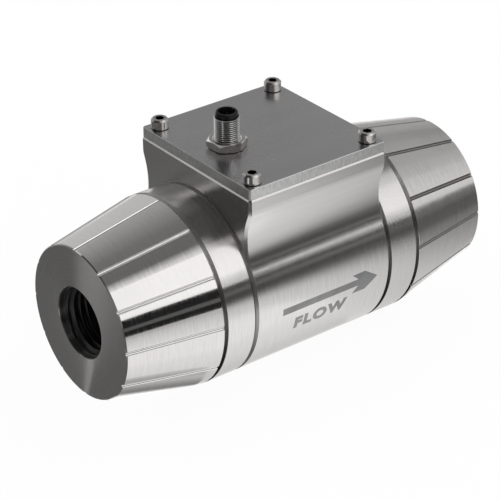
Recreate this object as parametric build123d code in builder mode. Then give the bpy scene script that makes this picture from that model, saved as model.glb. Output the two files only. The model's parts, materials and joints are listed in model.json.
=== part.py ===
"""Helical gear flow meter: a turned stainless housing between two coned port caps, with a sensor head.

Millimetres. X runs with the flow from the inlet mouth, Y to the back, Z up to the head.
The origin is the centre of the inlet mouth, on the flow axis.
"""

from math import asin, atan, cos, pi, radians, sin, sqrt, tan, tau
import os

from build123d import *

os.makedirs("parts", exist_ok=True)

# Clearances
part_gap = 0.02            # radial, between pieces that sit in one another and never move
running_gap = 0.06         # balls in their races
shaft_gap = 0.3            # rotor shafts in the walls they pass
rotor_tip_gap = 0.08       # rotor lobes to the bores round them
rotor_end_gap = 0.15       # rotor ends to the bearing plates
mesh_gap = 0.1             # taken off each rotor's flanks
cage_gap = 0.08            # balls in the cage pockets
wheel_end_gap = 0.45       # pole wheel to the end of its pocket
screw_clearance = 0.25     # radial, cover screws in the cover plate
barrel_clearance = 0.15    # radial, connector barrel in the cover plate
tap_runout = 1.5           # tapped holes, past the end of their screws
cutter_reach = 1.0         # cuts, past the faces they run out of

# Housing barrel, neck and head
body_r = 47.0
body_len = 80.0
neck_r = 32.0
shoulder_r = 10.0
head_half_y = 42.0
head_side_h = 5.73         # straight side of the head, over its shoulder
end_chamfer = 1.2
head_top_chamfer = 0.7

# Bore of the housing and the threads of the caps
cartridge_wall = 4.25       # rotor block, outside the rotor bores
cap_thread_step = 2.0      # cap thread over the cartridge bore, in radius
spigot_len = 11.0

# Port caps
cap_len = 66.0
cone_len = 47.4
cone_front_r = 37.7
cone_chamfer = 0.5
ring_groove_w = 2.1
ring_groove_depth = 2.4
relief_len = 1.2
relief_depth = 2.4
band_chamfer = 0.15        # edges of the band and of the groove beside it
slot_count = 12
slot_w = 2.0               # at the surface; the slots are round at the bottom
slot_depth = 0.8
inlet_slot_angle = 2.3
outlet_slot_angle = 3.3
port_mouth_r = 17.3
port_mouth_depth = 3.0
port_mouth_chamfer = 0.4
port_thread_r = 16.5
port_thread_len = 20.0
throat_r = 14.5
flare_r = 30.0
flare_land = 4.0
cap_seal_d = 2.6
cap_seal_from_face = 1.5

# Cover plate, its gasket and screws, and the cavity under it
plate_inset_x = 0.4
plate_inset_y = 0.6
plate_t = 5.3
plate_corner = 0.75        # bevel of the upright corners
plate_chamfer = 0.2
cavity_from_screw_x = 2.15
cavity_from_screw_y = 3.95
cavity_corner_r = 7.0
cavity_floor_t = 6.0       # over the cartridge bore
cavity_air = 2.25          # over the capacitors
gasket_from_cavity = 1.3
gasket_w = 2.2
gasket_t = 1.6
cover_screw_inset = 5.95
cover_screw_r = 2.5
cover_screw_len = 16.0
cover_screw_head_r = 4.25
cover_screw_head_h = 5.0
cover_screw_key = 4.0
cover_screw_key_depth = 2.5
cover_screw_chamfer = 0.8
cover_screw_foot = 0.3     # chamfer under the head
cover_screw_turns = [8, 31, 47, 22]

# Cable connector
connector_from_wall = 11.1 # axis, from the cavity's inlet wall
connector_y = 0.6
barrel_r = 6.0
barrel_above_nut = 11.55
barrel_chamfer = 0.5
barrel_wall = 0.75
barrel_thread_h = 0.3      # from the thread's crest to its mean radius, which the nut is bored for
flange_step = 1.7          # flange over the barrel, in radius
flange_t = 3.0
nut_flats = 17.0
nut_h = 4.0
nut_turn = 33.0
nut_crown_inset = 0.2
nut_sink_r = 6.9
nut_sink_depth = 0.9
insert_above_barrel = 2.2
insert_chamfer = 0.4
insert_wall = 1.25
insert_socket_depth = 9.5
insert_below_flange = 1.2
key_w = 1.0
key_h = 0.7
pin_r = 0.5
pin_circle_r = 2.5
pin_below_rim = 2.0
pin_count = 4
connector_seal_d = 1.0

# Circuit board
board_inset = 4.5
board_corner_r = 2.0
board_t = 1.6
board_lift = 7.0
board_tail = 1.0           # pins, below the board
board_screw_inset = 3.5
board_screw_r = 1.5
board_screw_len = 6.0
board_screw_head_r = 2.8
board_screw_head_h = 1.9
standoff_flats = 5.5
standoff_stud_len = 4.0
standoff_tap_depth = 5.0
chip_w = 10.0
chip_h = 1.5
capacitor_r = 2.5
capacitor_h = 4.2
capacitor_gap = 2.0
capacitor_inset = 10.0     # from the board's back edge
driver_w = 4.0
driver_l = 5.0
driver_y = 8.5

# Pick-ups over the pole wheel
pickup_half_y = 7.5
pickup_shank_r = 4.0
pickup_shank_len = 5.0
pickup_tip_r = 2.4
pickup_tip_air = 0.7
pickup_hex = 11.0
pickup_hex_h = 3.0
pickup_head_r = 3.8
pickup_head_h = 6.0
pickup_pin_r = 0.3
pickup_pin_pitch = 2.0
pickup_seal_d = 0.95

# Rotors and the cartridge that holds them
rotor_pitch_r = 14.0
rotor_lobes = 3
rotor_twist = 150.0
shaft_r = 6.0
journal_r = 5.0
journal_end_len = 1.2
inlet_plate_t = 10.0
outlet_plate_t = 15.0
bearing_seat_depth = 8.0
window_y = 15.5
window_w = 8.0
window_h = 18.0
cartridge_screw_edge = 5.6  # axis, from the cartridge's outside
cartridge_screw_angle = 30.65
cartridge_screw_r = 2.0
cartridge_screw_bite = 9.0
cartridge_head_r = 3.5
cartridge_head_h = 4.0
cartridge_screw_key = 3.0
dowel_edge = 7.0
dowel_r = 2.0
dowel_len = 12.0

# Pole wheel on the main rotor
wheel_r = 17.0
wheel_tooth_h = 1.8
wheel_teeth = 24
wheel_tooth_w = 2.2
wheel_hub_r = 8.0
wheel_hub_t = 4.4
wheel_disc_t = 3.6

# Ball bearings, retained by rings on the journals
bearing_r = 11.0
bearing_w = 6.0
ball_r = 1.6
ball_count = 9
land_gap = 1.1             # ring lands, from the ball circle
cage_t = 1.3
cage_w = 4.2
clip_t = 1.0
clip_groove_depth = 0.25
clip_opening = 55.0

# Sizes and places that follow from the dimensions above
total_len = body_len + 2 * cap_len
mid_x = total_len / 2
housing_end_x = cap_len + body_len
rotor_roll_r = rotor_pitch_r / (2 * rotor_lobes)
rotor_tip_r = rotor_pitch_r + 2 * rotor_roll_r
chamber_r = rotor_tip_r + rotor_tip_gap
rotor_block_len = body_len - 2 * spigot_len - inlet_plate_t - outlet_plate_t
cartridge_r = rotor_pitch_r + chamber_r + cartridge_wall
cartridge_screw_y = (cartridge_r - cartridge_screw_edge) * cos(radians(cartridge_screw_angle))
cartridge_screw_z = (cartridge_r - cartridge_screw_edge) * sin(radians(cartridge_screw_angle))
cartridge_screw_len = inlet_plate_t - cartridge_head_h + rotor_block_len + cartridge_screw_bite
dowel_y = cartridge_r - dowel_edge
cap_thread_r = cartridge_r + cap_thread_step
cavity_floor_z = cartridge_r + cavity_floor_t
cavity_depth = board_lift + board_t + capacitor_h + cavity_air
head_top_z = cavity_floor_z + cavity_depth
head_floor = Plane.XY.offset(cavity_floor_z)
head_top = Plane.XY.offset(head_top_z)
plate_half_x = body_len / 2 - plate_inset_x
plate_half_y = head_half_y - plate_inset_y
plate_top_z = head_top_z + plate_t
screw_half_x = plate_half_x - cover_screw_inset
screw_half_y = plate_half_y - cover_screw_inset
cover_screw_hole_r = cover_screw_r + screw_clearance
cavity_half_x = screw_half_x - cavity_from_screw_x
cavity_half_y = screw_half_y - cavity_from_screw_y
wheel_root_r = wheel_r - wheel_tooth_h
wheel_pocket_depth = rotor_end_gap + wheel_hub_t + wheel_end_gap
ball_circle_r = (journal_r + bearing_r) / 2
inner_land_r = ball_circle_r - land_gap
outer_land_r = ball_circle_r + land_gap
clip_r = inner_land_r
inlet_plate_x = cap_len + spigot_len
block_x = inlet_plate_x + inlet_plate_t
outlet_plate_x = block_x + rotor_block_len
cartridge_end_x = outlet_plate_x + outlet_plate_t
main_axis_z = rotor_pitch_r
side_axis_z = -rotor_pitch_r
rotor_x = block_x + rotor_end_gap
rotor_len = rotor_block_len - 2 * rotor_end_gap
inlet_bearing_x = inlet_plate_x + bearing_seat_depth - bearing_w
outlet_bearing_x = cartridge_end_x - bearing_seat_depth
wheel_x = rotor_x + rotor_len + wheel_hub_t - wheel_disc_t
pickup_x = wheel_x + wheel_disc_t / 2
connector_at = (mid_x - cavity_half_x + connector_from_wall, connector_y)
barrel_bore_r = barrel_r - barrel_wall
insert_bore_r = barrel_bore_r - insert_wall
flange_r = barrel_r + flange_step
connector_seal_r = (barrel_r + flange_r) / 2
connector_axis = Axis((*connector_at, 0), (0, 0, 1))
nut_top_z = plate_top_z + nut_h
barrel_top_z = nut_top_z + barrel_above_nut
rim_z = barrel_top_z + insert_above_barrel
flange_z = head_top_z - flange_t
board_half_x = cavity_half_x - board_inset
board_half_y = cavity_half_y - board_inset
board_screw_x = board_half_x - board_screw_inset
board_screw_y = board_half_y - board_screw_inset
board_z = cavity_floor_z + board_lift
board_top_z = board_z + board_t
relief_r = body_r - relief_depth
slot_r = (slot_w**2 / 4 + slot_depth**2) / (2 * slot_depth)
cap_seal_groove_r = cap_thread_r - cap_seal_d
gasket_half_x = cavity_half_x + gasket_from_cavity + gasket_w / 2
gasket_half_y = cavity_half_y + gasket_from_cavity + gasket_w / 2
gasket_inner_r = cavity_corner_r + gasket_from_cavity
gasket_outer_r = gasket_inner_r + gasket_w
cover_hole_depth = cover_screw_len - plate_t + tap_runout
pickup_near_y = pickup_half_y - pickup_tip_r
pickup_tip_z = main_axis_z + sqrt(wheel_r**2 - pickup_near_y**2) + pickup_tip_air


def save(piece, name):
    """Label a finished piece and write it."""
    piece.part.label = name
    export_step(piece.part, f"parts/{name}.step")


def along_flow(x):
    """The cross-section plane at x, with Y across and Z up."""
    return Plane.YZ.offset(x)


def housing_outline():
    """Closed outline of the barrel, the waisted neck and the head, seen along the flow. Each neck arc
    touches the barrel and the head's shoulder."""
    shoulder_y = head_half_y - shoulder_r
    shoulder_z = head_top_z - head_side_h
    reach = sqrt(shoulder_y**2 + shoulder_z**2)
    along = ((body_r + neck_r) ** 2 - (neck_r + shoulder_r) ** 2 + reach**2) / (2 * reach)
    beside = sqrt((body_r + neck_r) ** 2 - along**2)
    neck_y = (along * shoulder_y + beside * shoulder_z) / reach
    neck_z = (along * shoulder_z - beside * shoulder_y) / reach
    to_barrel = body_r / (body_r + neck_r)
    to_neck = neck_r / (neck_r + shoulder_r)
    foot = Vector(neck_y * to_barrel, neck_z * to_barrel)
    turn = Vector(
        neck_y + (shoulder_y - neck_y) * to_neck,
        neck_z + (shoulder_z - neck_z) * to_neck,
    )
    waist = Vector(neck_y - neck_r, neck_z)
    side = Vector(head_half_y, shoulder_z)
    crest_turn = asin((shoulder_z - turn.Y) / shoulder_r) / 2
    crest = Vector(
        shoulder_y + shoulder_r * cos(crest_turn),
        shoulder_z - shoulder_r * sin(crest_turn),
    )
    corner = Vector(head_half_y, head_top_z)
    for sign in (1, -1):
        flank = [Vector(sign * p.X, p.Y) for p in (foot, waist, turn, crest, side, corner)]
        ThreePointArc(*flank[0:3])
        ThreePointArc(*flank[2:5])
        Line(*flank[4:6])
    Line((-corner.X, corner.Y), (corner.X, corner.Y))
    ThreePointArc((-foot.X, foot.Y), (0, -body_r), (foot.X, foot.Y))


# Housing: one block, with the cartridge bore, the cap threads, the head cavity and all tapped holes
with BuildPart() as housing:
    with BuildSketch(along_flow(cap_len)):
        with BuildLine():
            housing_outline()
        make_face()
    extrude(amount=body_len)
    ends = housing.faces().filter_by(Axis.X)
    below_top = head_top_z - shoulder_r / 2
    chamfer(ends.edges().filter_by_position(Axis.Z, -2 * body_r, below_top), end_chamfer)
    chamfer(housing.faces().sort_by(Axis.Z)[-1].edges(), head_top_chamfer)
    with BuildSketch(along_flow(cap_len)):
        Circle(cartridge_r)
    extrude(amount=body_len, mode=Mode.SUBTRACT)
    with BuildSketch(along_flow(cap_len), along_flow(housing_end_x - spigot_len)):
        Circle(cap_thread_r)
    extrude(amount=spigot_len, mode=Mode.SUBTRACT)
    with BuildSketch(head_top):
        with Locations((mid_x, 0)):
            RectangleRounded(2 * cavity_half_x, 2 * cavity_half_y, cavity_corner_r)
    extrude(amount=cavity_floor_z - head_top_z, mode=Mode.SUBTRACT)
    with BuildSketch(head_top):
        with Locations((mid_x, 0)):
            RectangleRounded(
                2 * gasket_half_x + gasket_w, 2 * gasket_half_y + gasket_w, gasket_outer_r
            )
            RectangleRounded(
                2 * gasket_half_x - gasket_w,
                2 * gasket_half_y - gasket_w,
                gasket_inner_r,
                mode=Mode.SUBTRACT,
            )
    extrude(amount=-gasket_t, mode=Mode.SUBTRACT)
    with Locations((mid_x, 0, head_top_z)):
        with GridLocations(2 * screw_half_x, 2 * screw_half_y, 2, 2):
            Hole(cover_screw_r + part_gap, depth=cover_hole_depth)
    with Locations((mid_x, 0, cavity_floor_z)):
        with GridLocations(2 * board_screw_x, 2 * board_screw_y, 2, 2):
            Hole(board_screw_r + part_gap, depth=standoff_stud_len + tap_runout)
    with Locations((pickup_x, 0, cavity_floor_z)):
        with GridLocations(0, 2 * pickup_half_y, 1, 2):
            CounterBoreHole(
                pickup_tip_r + part_gap,
                pickup_shank_r + part_gap,
                pickup_shank_len + part_gap,
                depth=cavity_floor_z - pickup_tip_z,
            )
save(housing, "housing")


def port_cap(mouth_x, inward, slot_angle):
    """One port cap, turned from bar, with its grip slots; inward is +1 from the inlet, -1 from the outlet."""
    cone_slope = (body_r - cone_front_r) / (cone_len - cone_chamfer)
    slot_end = cone_len + ring_groove_w / 2
    ring_groove_r = body_r - ring_groove_depth
    band_x = cone_len + ring_groove_w
    band_end = cap_len - relief_len
    seal_x = cap_len + cap_seal_from_face
    seal_end = seal_x + cap_seal_d
    end = cap_len + spigot_len
    spigot_r = cap_thread_r - part_gap
    port_end = port_mouth_depth + port_thread_len
    profile = [
        (0, port_mouth_r + port_mouth_chamfer),
        (0, cone_front_r - cone_chamfer),
        (cone_chamfer, cone_front_r),
        (cone_len - band_chamfer, body_r - cone_slope * band_chamfer),
        (cone_len, body_r - band_chamfer),
        (cone_len, ring_groove_r),
        (band_x, ring_groove_r),
        (band_x, body_r - band_chamfer),
        (band_x + band_chamfer, body_r),
        (band_end - band_chamfer, body_r),
        (band_end, body_r - band_chamfer),
        (band_end, relief_r),
        (cap_len, relief_r),
        (cap_len, spigot_r),
        (seal_x, spigot_r),
        (seal_x, cap_seal_groove_r),
        (seal_end, cap_seal_groove_r),
        (seal_end, spigot_r),
        (end, spigot_r),
        (end, flare_r),
        (end - flare_land, flare_r),
        (port_end, throat_r),
        (port_end, port_thread_r),
        (port_mouth_depth, port_thread_r),
        (port_mouth_depth, port_mouth_r),
        (port_mouth_chamfer, port_mouth_r),
    ]
    with BuildPart() as cap:
        with BuildSketch(Plane((mouth_x, 0, 0), x_dir=(inward, 0, 0), z_dir=(0, -inward, 0))):
            with BuildLine():
                Polyline(*profile, close=True)
            make_face()
        revolve(axis=Axis.X)
        slope_turn = atan(cone_slope)
        for k in range(slot_count):
            turn = (slot_angle + k * 360 / slot_count) * pi / 180
            outward = Vector(0, -cos(turn), sin(turn))
            along = Vector(inward, 0, 0) + outward * cone_slope
            surface_r = cone_front_r - cone_slope * (cutter_reach + cone_chamfer)
            start = Vector(mouth_x - inward * cutter_reach, 0, 0)
            start += outward * (surface_r + (slot_r - slot_depth) / cos(slope_turn))
            with BuildSketch(Plane(start, z_dir=along)):
                Circle(slot_r)
            extrude(amount=(slot_end + cutter_reach) / cos(slope_turn), mode=Mode.SUBTRACT)
    return cap


save(port_cap(0, 1, inlet_slot_angle), "inlet_cap")
save(port_cap(total_len, -1, outlet_slot_angle), "outlet_cap")


def cap_seal(x):
    """O-ring on a cap's spigot, with its section centred at x."""
    with BuildPart() as seal:
        with BuildSketch(Plane.XZ):
            with Locations((x, cap_thread_r - cap_seal_d / 2)):
                Circle(cap_seal_d / 2 - part_gap)
        revolve(axis=Axis.X)
    return seal


cap_seal_depth = cap_len + cap_seal_from_face + cap_seal_d / 2
save(cap_seal(cap_seal_depth), "inlet_cap_seal")
save(cap_seal(total_len - cap_seal_depth), "outlet_cap_seal")

# Cover plate on the head, with four screw holes and the connector's hole
with BuildPart() as cover_plate:
    with BuildSketch(head_top) as plate_face:
        with Locations((mid_x, 0)):
            Rectangle(2 * plate_half_x, 2 * plate_half_y)
        chamfer(plate_face.vertices(), plate_corner)
        with Locations((mid_x, 0)):
            with GridLocations(2 * screw_half_x, 2 * screw_half_y, 2, 2):
                Circle(cover_screw_hole_r, mode=Mode.SUBTRACT)
        with Locations(connector_at):
            Circle(barrel_r + barrel_clearance, mode=Mode.SUBTRACT)
    extrude(amount=plate_t)
    rim = cover_plate.edges().filter_by(GeomType.LINE).filter_by(Axis.Z, reverse=True)
    chamfer(rim, plate_chamfer)
save(cover_plate, "cover_plate")

# Gasket ring in the head's groove
with BuildPart() as cover_gasket:
    with BuildSketch(head_top.offset(-gasket_t)):
        with Locations((mid_x, 0)):
            ring_w = gasket_w - 2 * part_gap
            RectangleRounded(
                2 * gasket_half_x + ring_w, 2 * gasket_half_y + ring_w, gasket_outer_r - part_gap
            )
            RectangleRounded(
                2 * gasket_half_x - ring_w,
                2 * gasket_half_y - ring_w,
                gasket_inner_r + part_gap,
                mode=Mode.SUBTRACT,
            )
    extrude(amount=gasket_t)
save(cover_gasket, "cover_gasket")

# Four socket-head screws that hold the plate
screw_places = [
    (mid_x + across * screw_half_x, back * screw_half_y) for across in (-1, 1) for back in (-1, 1)
]
with BuildPart() as cover_screws:
    for place, turn in zip(screw_places, cover_screw_turns):
        with BuildSketch(Plane.XY.offset(plate_top_z)):
            with Locations(place):
                Circle(cover_screw_head_r)
        extrude(amount=cover_screw_head_h)
        with BuildSketch(Plane.XY.offset(plate_top_z)):
            with Locations(place):
                Circle(cover_screw_r)
        extrude(amount=-cover_screw_len)
        with BuildSketch(Plane.XY.offset(plate_top_z + cover_screw_head_h)):
            with Locations(place):
                RegularPolygon(cover_screw_key / 2, 6, major_radius=False, rotation=turn)
        extrude(amount=-cover_screw_key_depth, mode=Mode.SUBTRACT)
    rings = cover_screws.edges().filter_by(GeomType.CIRCLE)
    feet = rings.filter_by_position(Axis.Z, plate_top_z, plate_top_z).sort_by(SortBy.RADIUS)
    chamfer(rings.group_by(Axis.Z)[-1], cover_screw_chamfer)
    chamfer(feet[-len(screw_places):], cover_screw_foot)
save(cover_screws, "cover_screws")

# Connector shell: threaded barrel through the plate and the nut, with a flange under the plate
with BuildPart() as connector_shell:
    with BuildSketch(Plane.XY.offset(flange_z)):
        with Locations(connector_at):
            Circle(flange_r)
            Circle(barrel_bore_r, mode=Mode.SUBTRACT)
    extrude(amount=flange_t)
    with BuildSketch(head_top):
        with Locations(connector_at):
            Circle(barrel_r - barrel_thread_h)
            Circle(barrel_bore_r, mode=Mode.SUBTRACT)
    extrude(amount=nut_top_z - head_top_z)
    with BuildSketch(Plane.XY.offset(nut_top_z)):
        with Locations(connector_at):
            Circle(barrel_r)
            Circle(barrel_bore_r, mode=Mode.SUBTRACT)
    extrude(amount=barrel_top_z - nut_top_z)
    mouth = connector_shell.faces().sort_by(Axis.Z)[-1].edges()
    chamfer(mouth.sort_by(SortBy.RADIUS)[-1], barrel_chamfer)
    with BuildSketch(head_top):
        with Locations(connector_at):
            Circle(connector_seal_r + connector_seal_d / 2)
            Circle(connector_seal_r - connector_seal_d / 2, mode=Mode.SUBTRACT)
    extrude(amount=-connector_seal_d, mode=Mode.SUBTRACT)
save(connector_shell, "connector_shell")

# O-ring in the flange, against the plate
with BuildPart() as connector_seal:
    with BuildSketch(Plane.XZ.offset(-connector_y)):
        with Locations((connector_at[0] + connector_seal_r, head_top_z - connector_seal_d / 2)):
            Circle(connector_seal_d / 2 - part_gap)
    revolve(axis=connector_axis)
save(connector_seal, "connector_seal")

# Hexagon lock nut on the plate
with BuildPart() as connector_nut:
    with BuildSketch(Plane.XY.offset(plate_top_z)):
        with Locations(connector_at):
            RegularPolygon(nut_flats / 2, 6, major_radius=False, rotation=nut_turn)
            Circle(barrel_r - barrel_thread_h + part_gap, mode=Mode.SUBTRACT)
    extrude(amount=nut_h)
    nut_corner_r = nut_flats / (2 * cos(pi / 6))
    nut_crown_r = nut_flats / 2 - nut_crown_inset
    nut_bevel = (nut_corner_r - nut_crown_r) * tan(pi / 6)
    with BuildSketch(Plane.XZ.offset(-connector_y)):
        with BuildLine():
            x0 = connector_at[0]
            Polyline(
                (x0, plate_top_z),
                (x0 + nut_crown_r, plate_top_z),
                (x0 + nut_corner_r, plate_top_z + nut_bevel),
                (x0 + nut_corner_r, nut_top_z - nut_bevel),
                (x0 + nut_crown_r, nut_top_z),
                (x0 + nut_sink_r, nut_top_z),
                (x0 + barrel_r, nut_top_z - nut_sink_depth),
                (x0, nut_top_z - nut_sink_depth),
                close=True,
            )
        make_face()
    revolve(axis=connector_axis, mode=Mode.INTERSECT)
save(connector_nut, "connector_nut")

# Moulded insert: a body in the barrel, a socket round the pins and a coding key
insert_floor_z = rim_z - insert_socket_depth
insert_foot_z = flange_z - insert_below_flange
pin_places = [connector_at] + [
    (
        connector_at[0] + pin_circle_r * cos(tau * (k + 0.5) / pin_count),
        connector_at[1] + pin_circle_r * sin(tau * (k + 0.5) / pin_count),
    )
    for k in range(pin_count)
]
with BuildPart() as connector_insert:
    with BuildSketch(Plane.XY.offset(insert_foot_z)):
        with Locations(connector_at):
            Circle(barrel_bore_r - part_gap)
    extrude(amount=rim_z - insert_foot_z)
    with BuildSketch(Plane.XY.offset(rim_z)):
        with Locations(connector_at):
            Circle(insert_bore_r)
            with Locations((insert_bore_r - key_h / 2, 0)):
                Rectangle(key_h, key_w, mode=Mode.SUBTRACT)
    extrude(amount=-insert_socket_depth, mode=Mode.SUBTRACT)
    with Locations([(*place, insert_floor_z) for place in pin_places]):
        Hole(pin_r + part_gap, depth=insert_floor_z - insert_foot_z)
    rims = connector_insert.faces().sort_by(Axis.Z)[-1].edges().filter_by(GeomType.CIRCLE)
    chamfer(rims.sort_by(SortBy.RADIUS)[-1], insert_chamfer)
save(connector_insert, "connector_insert")

# Contact pins, straight down into the board
with BuildPart() as connector_pins:
    with BuildSketch(Plane.XY.offset(board_z - board_tail)):
        with Locations(pin_places):
            Circle(pin_r)
    extrude(amount=rim_z - pin_below_rim - board_z + board_tail)
save(connector_pins, "connector_pins")

# Circuit board under the plate
pickup_places = [(pickup_x, sign * pickup_half_y) for sign in (-1, 1)]
pickup_pins = [
    (x + k * pickup_pin_pitch, y) for x, y in pickup_places for k in (-1, 0, 1)
]
with BuildPart() as circuit_board:
    with BuildSketch(Plane.XY.offset(board_z)):
        with Locations((mid_x, 0)):
            RectangleRounded(2 * board_half_x, 2 * board_half_y, board_corner_r)
            with GridLocations(2 * board_screw_x, 2 * board_screw_y, 2, 2):
                Circle(board_screw_r + 2 * part_gap, mode=Mode.SUBTRACT)
        with Locations(pin_places):
            Circle(pin_r + part_gap, mode=Mode.SUBTRACT)
        with Locations(pickup_pins):
            Circle(pickup_pin_r + part_gap, mode=Mode.SUBTRACT)
    extrude(amount=board_t)
save(circuit_board, "circuit_board")

# Hexagon standoffs with a stud in the head's floor and a tapped top
with BuildPart() as board_standoffs:
    with BuildSketch(head_floor):
        with Locations((mid_x, 0)):
            with GridLocations(2 * board_screw_x, 2 * board_screw_y, 2, 2):
                RegularPolygon(standoff_flats / 2, 6, major_radius=False)
    extrude(amount=board_lift)
    with BuildSketch(head_floor):
        with Locations((mid_x, 0)):
            with GridLocations(2 * board_screw_x, 2 * board_screw_y, 2, 2):
                Circle(board_screw_r)
    extrude(amount=-standoff_stud_len)
    with Locations((mid_x, 0, board_z)):
        with GridLocations(2 * board_screw_x, 2 * board_screw_y, 2, 2):
            Hole(board_screw_r + part_gap, depth=standoff_tap_depth)
save(board_standoffs, "board_standoffs")

# Pan-head screws through the board
with BuildPart() as board_screws:
    with BuildSketch(Plane.XY.offset(board_top_z)):
        with Locations((mid_x, 0)):
            with GridLocations(2 * board_screw_x, 2 * board_screw_y, 2, 2):
                Circle(board_screw_head_r)
    extrude(amount=board_screw_head_h)
    with BuildSketch(Plane.XY.offset(board_top_z)):
        with Locations((mid_x, 0)):
            with GridLocations(2 * board_screw_x, 2 * board_screw_y, 2, 2):
                Circle(board_screw_r)
    extrude(amount=-board_screw_len)
save(board_screws, "board_screws")

# Parts soldered to the board
with BuildPart() as signal_chip:
    with BuildSketch(Plane.XY.offset(board_top_z)):
        with Locations((mid_x, 0)):
            Rectangle(chip_w, chip_w)
    extrude(amount=chip_h)
save(signal_chip, "signal_chip")

with BuildPart() as driver_chips:
    with BuildSketch(Plane.XY.offset(board_top_z)):
        with Locations((mid_x, 0)):
            with GridLocations(0, 2 * driver_y, 1, 2):
                Rectangle(driver_l, driver_w)
    extrude(amount=chip_h)
save(driver_chips, "driver_chips")

with BuildPart() as capacitors:
    with BuildSketch(Plane.XY.offset(board_top_z)):
        with Locations((mid_x, board_half_y - capacitor_inset)):
            with GridLocations(2 * capacitor_r + capacitor_gap, 0, 3, 1):
                Circle(capacitor_r)
    extrude(amount=capacitor_h)
save(capacitors, "capacitors")


def pickup(y):
    """One pick-up: tip and shank in the housing wall, a hexagon on the floor, and pins into the board."""
    seal_z = cavity_floor_z - pickup_shank_len / 2
    with BuildPart() as probe:
        with BuildSketch(head_floor):
            with Locations((pickup_x, y)):
                RegularPolygon(pickup_hex / 2, 6, major_radius=False, rotation=30)
        extrude(amount=pickup_hex_h)
        with BuildSketch(head_floor):
            with Locations((pickup_x, y)):
                Circle(pickup_head_r)
        extrude(amount=pickup_head_h)
        with BuildSketch(head_floor):
            with Locations((pickup_x, y)):
                Circle(pickup_shank_r)
        extrude(amount=-pickup_shank_len)
        with BuildSketch(head_floor):
            with Locations((pickup_x, y)):
                Circle(pickup_tip_r)
        extrude(amount=pickup_tip_z - cavity_floor_z)
        with BuildSketch(Plane.XY.offset(board_z - board_tail)):
            with Locations([place for place in pickup_pins if place[1] == y]):
                Circle(pickup_pin_r)
        extrude(amount=board_t + 2 * board_tail)
        with BuildSketch(Plane.XY.offset(seal_z - pickup_seal_d / 2)):
            with Locations((pickup_x, y)):
                Circle(pickup_shank_r)
                Circle(pickup_shank_r - pickup_seal_d, mode=Mode.SUBTRACT)
        extrude(amount=pickup_seal_d, mode=Mode.SUBTRACT)
    return probe


save(pickup(-pickup_half_y), "front_pickup")
save(pickup(pickup_half_y), "rear_pickup")

with BuildPart() as pickup_seals:
    for y in (-pickup_half_y, pickup_half_y):
        with BuildSketch(Plane.XZ.offset(-y)):
            seal_z = cavity_floor_z - pickup_shank_len / 2
            with Locations((pickup_x + pickup_shank_r - pickup_seal_d / 2, seal_z)):
                Circle(pickup_seal_d / 2 - part_gap)
        revolve(axis=Axis((pickup_x, y, 0), (0, 0, 1)))
save(pickup_seals, "pickup_seals")


# Cartridge: a block with two crossing bores between two bearing plates
with BuildPart() as rotor_block:
    with BuildSketch(along_flow(block_x)):
        Circle(cartridge_r - part_gap)
        with Locations((0, main_axis_z), (0, side_axis_z)):
            Circle(chamber_r, mode=Mode.SUBTRACT)
        with GridLocations(2 * cartridge_screw_y, 2 * cartridge_screw_z, 2, 2):
            Circle(cartridge_screw_r + part_gap, mode=Mode.SUBTRACT)
        with GridLocations(2 * dowel_y, 0, 2, 1):
            Circle(dowel_r + part_gap, mode=Mode.SUBTRACT)
    extrude(amount=rotor_block_len)
save(rotor_block, "rotor_block")


# Section that both bearing plates share: shaft holes, flow windows, screw and dowel holes
with BuildSketch() as plate_section:
    Circle(cartridge_r - part_gap)
    with Locations((0, main_axis_z), (0, side_axis_z)):
        Circle(shaft_r + shaft_gap, mode=Mode.SUBTRACT)
    with GridLocations(2 * window_y, 0, 2, 1):
        SlotOverall(window_h, window_w, rotation=90, mode=Mode.SUBTRACT)
    with GridLocations(2 * cartridge_screw_y, 2 * cartridge_screw_z, 2, 2):
        Circle(cartridge_screw_r + part_gap, mode=Mode.SUBTRACT)
    with GridLocations(2 * dowel_y, 0, 2, 1):
        Circle(dowel_r + part_gap, mode=Mode.SUBTRACT)

with BuildPart() as inlet_bearing_plate:
    with BuildSketch(along_flow(inlet_plate_x)):
        add(plate_section.sketch)
    extrude(amount=inlet_plate_t)
    with BuildSketch(along_flow(inlet_plate_x)):
        with Locations((0, main_axis_z), (0, side_axis_z)):
            Circle(bearing_r + part_gap)
    extrude(amount=bearing_seat_depth, mode=Mode.SUBTRACT)
    with BuildSketch(along_flow(inlet_plate_x)):
        with GridLocations(2 * cartridge_screw_y, 2 * cartridge_screw_z, 2, 2):
            Circle(cartridge_head_r + part_gap)
    extrude(amount=cartridge_head_h, mode=Mode.SUBTRACT)
save(inlet_bearing_plate, "inlet_bearing_plate")

with BuildPart() as outlet_bearing_plate:
    with BuildSketch(along_flow(outlet_plate_x)):
        add(plate_section.sketch)
    extrude(amount=outlet_plate_t)
    with BuildSketch(along_flow(outlet_bearing_x)):
        with Locations((0, main_axis_z), (0, side_axis_z)):
            Circle(bearing_r + part_gap)
    extrude(amount=bearing_seat_depth, mode=Mode.SUBTRACT)
    with BuildSketch(along_flow(outlet_plate_x)):
        with Locations((0, main_axis_z)):
            Circle(wheel_r + pickup_tip_air)
    extrude(amount=wheel_pocket_depth, mode=Mode.SUBTRACT)
    with Locations((pickup_x, 0, cartridge_r)):
        with GridLocations(0, 2 * pickup_half_y, 1, 2):
            Hole(pickup_tip_r + part_gap, depth=cartridge_r - main_axis_z)
save(outlet_bearing_plate, "outlet_bearing_plate")

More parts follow.
